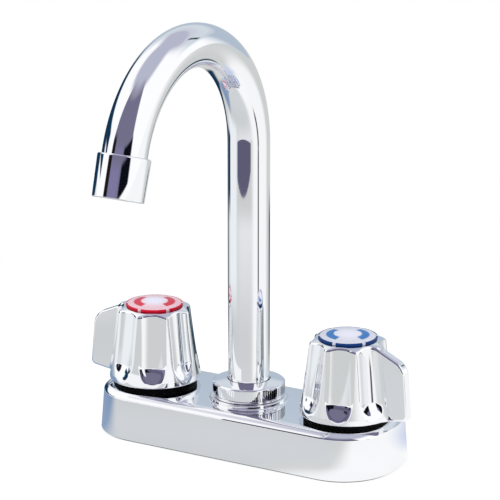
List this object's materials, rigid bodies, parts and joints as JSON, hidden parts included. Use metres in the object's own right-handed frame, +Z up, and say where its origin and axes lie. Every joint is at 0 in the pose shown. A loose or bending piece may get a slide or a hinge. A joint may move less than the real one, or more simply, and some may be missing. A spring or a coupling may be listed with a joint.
{
  "type": "bar faucet",
  "caption": "Deck-mounted two-handle bar faucet with a tall swivelling gooseneck spout, fluted wing handles and threaded inlets below.",
  "frame": {"origin": "centre of the base gasket's underside, on the deck plane, under the spout's swivel axis", "axes": "+Z up along the spout's swivel axis, +X along the base towards the cold handle, -Y towards the user, the way the spout points"},
  "size_m": [0.167, 0.144, 0.2548],
  "materials": {
    "polished_chrome": "polished",
    "cast_brass": "as cast",
    "turned_brass": "turned",
    "zinc_steel": "zinc plated",
    "black_rubber": "matte",
    "black_plastic": "matte",
    "white_plastic": "moulded",
    "red_index_plastic": "clear over red",
    "blue_index_plastic": "clear over blue"
  },
  "bodies": {
    "faucet_base": {"body_shell": "polished_chrome", "base_gasket": "black_rubber", "waterway_casting": "cast_brass", "spout_nut": "polished_chrome", "valve_bonnet_hot": "turned_brass", "valve_bonnet_cold": "turned_brass", "valve_seat_hot": "black_rubber", "valve_seat_cold": "black_rubber", "seat_spring_hot": "zinc_steel", "seat_spring_cold": "zinc_steel", "handle_base_ring_hot": "black_plastic", "handle_base_ring_cold": "black_plastic", "inlet_shank_hot": "turned_brass", "inlet_shank_cold": "turned_brass", "deck_washer_hot": "zinc_steel", "deck_washer_cold": "zinc_steel", "locknut_hot": "cast_brass", "locknut_cold": "cast_brass"},
    "spout": {"spout_tube": "polished_chrome", "spout_foot": "turned_brass", "spout_seal_ring_upper": "black_rubber", "spout_seal_ring_lower": "black_rubber", "aerator_housing": "polished_chrome", "aerator_washer": "black_rubber", "aerator_insert": "white_plastic"},
    "hot_handle": {"handle_hot": "polished_chrome", "handle_screw_hot": "zinc_steel", "index_button_hot": "red_index_plastic", "valve_stem_hot": "turned_brass"},
    "cold_handle": {"handle_cold": "polished_chrome", "handle_screw_cold": "zinc_steel", "index_button_cold": "blue_index_plastic", "valve_stem_cold": "turned_brass"}
  },
  "joints": [
    {"name": "spout_swivel", "type": "hinge", "parent": "faucet_base", "child": "spout", "pos_m": [0, 0, 0.03], "axis": [0, 0, 1], "continuous": true},
    {"name": "hot_valve_turn", "type": "hinge", "parent": "faucet_base", "child": "hot_handle", "pos_m": [-0.0508, 0, 0.04], "axis": [0, 0, 1], "range_deg": [0, 90]},
    {"name": "cold_valve_turn", "type": "hinge", "parent": "faucet_base", "child": "cold_handle", "pos_m": [0.0508, 0, 0.04], "axis": [0, 0, 1], "range_deg": [-90, 0]}
  ]
}
